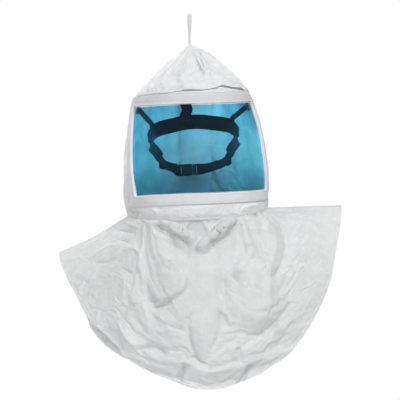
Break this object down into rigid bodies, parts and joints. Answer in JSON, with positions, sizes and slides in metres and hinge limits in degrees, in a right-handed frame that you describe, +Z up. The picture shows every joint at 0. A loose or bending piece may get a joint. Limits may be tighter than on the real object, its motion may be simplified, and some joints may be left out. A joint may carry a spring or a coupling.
{
  "type": "powered air respirator hood",
  "caption": "Loose-fitting white fabric respirator hood with a wide tinted-film window, black head harness, double bib with a shoulder cape, rear air inlet and hanging loop",
  "frame": {"origin": "middle of the footprint of the whole hood, at the height of the lowest point of the hem", "axes": "+Z up towards the hanging loop, the window faces -Y, +X is to the right of someone looking at the window"},
  "size_m": [0.5372, 0.351, 0.716],
  "materials": {
    "hood_fabric": "matt non-woven",
    "bib_fabric": "matt non-woven",
    "binding": "heat-sealed tape",
    "tape": "woven tape",
    "duct_fabric": "coated fabric",
    "lens": "clear sheet",
    "film": "blue tinted film",
    "webbing": "black woven webbing",
    "sweatband": "brushed knit over foam",
    "harness_plastic": "moulded, fine texture",
    "port_plastic": "moulded, satin",
    "seal_rubber": "soft black",
    "foam": "open-cell foam"
  },
  "bodies": {
    "hood": {"crown_front": "hood_fabric", "crown_rear": "hood_fabric", "brow_panel": "hood_fabric", "chin_panel": "hood_fabric", "side_panel_left": "hood_fabric", "side_panel_right": "hood_fabric", "inner_bib_front": "bib_fabric", "inner_bib_rear": "bib_fabric", "visor_binding": "binding", "lens_bond_tape": "tape", "visor_lens": "lens", "visor_film": "film", "anchor_tab_left": "tape", "anchor_tab_right": "tape", "crown_anchor_tab": "tape", "crown_strap_upper": "webbing", "inlet_spigot": "port_plastic", "inlet_washer": "port_plastic", "inlet_lock_nut": "port_plastic", "inlet_gasket": "seal_rubber", "inlet_o_ring": "seal_rubber", "air_duct": "duct_fabric", "duct_diffuser": "foam"},
    "hang_loop": {"hang_loop": "tape"},
    "cape_front": {"cape_front": "hood_fabric"},
    "cape_rear": {"cape_rear": "hood_fabric"},
    "harness": {"brow_band": "webbing", "sweatband": "sweatband", "side_elastic_left": "webbing", "side_elastic_right": "webbing", "brow_rivet_left": "harness_plastic", "brow_rivet_right": "harness_plastic", "corner_strap_left": "webbing", "corner_strap_right": "webbing", "crown_strap_lower": "webbing", "nape_strap_left": "webbing", "buckle_socket": "harness_plastic"},
    "buckle": {"buckle_plug": "harness_plastic", "nape_strap_right": "webbing"},
    "slide_left": {"triglide_left": "harness_plastic"},
    "slide_right": {"triglide_right": "harness_plastic"},
    "slide_crown": {"crown_triglide": "harness_plastic"}
  },
  "joints": [
    {"name": "loop_hinge", "type": "hinge", "parent": "hood", "child": "hang_loop", "pos_m": [-0.021, 0.01335, 0.65], "axis": [1, 0, 0], "range_deg": [-60, 60], "stiffness_Nm_per_rad": 0.02},
    {"name": "cape_front_hinge", "type": "hinge", "parent": "hood", "child": "cape_front", "pos_m": [-0.008, -0.13065, 0.337], "axis": [-1, 0, 0], "range_deg": [0, 35], "stiffness_Nm_per_rad": 4},
    {"name": "cape_rear_hinge", "type": "hinge", "parent": "hood", "child": "cape_rear", "pos_m": [-0.008, 0.145, 0.3], "axis": [1, 0, 0], "range_deg": [0, 30], "stiffness_Nm_per_rad": 4},
    {"name": "harness_swing", "type": "hinge", "parent": "hood", "child": "harness", "pos_m": [-0.012, -0.05813, 0.52857], "axis": [1, 0, 0], "range_deg": [-8, 5], "stiffness_Nm_per_rad": 6},
    {"name": "buckle_slide", "type": "slide", "parent": "harness", "child": "buckle", "axis": [0.9983, 0, 0.0576], "range_m": [0, 0.018], "stiffness_N_per_m": 300},
    {"name": "triglide_left_slide", "type": "slide", "parent": "harness", "child": "slide_left", "axis": [-0.5937, -0.7416, 0.3122], "range_m": [0, 0.004], "stiffness_N_per_m": 200},
    {"name": "triglide_right_slide", "type": "slide", "parent": "harness", "child": "slide_right", "axis": [0.5539, -0.7417, 0.3784], "range_m": [0, 0.004], "stiffness_N_per_m": 200},
    {"name": "crown_slide", "type": "slide", "parent": "harness", "child": "slide_crown", "axis": [0.1163, -0.93, -0.3487], "range_m": [0, 0.008], "stiffness_N_per_m": 200}
  ]
}
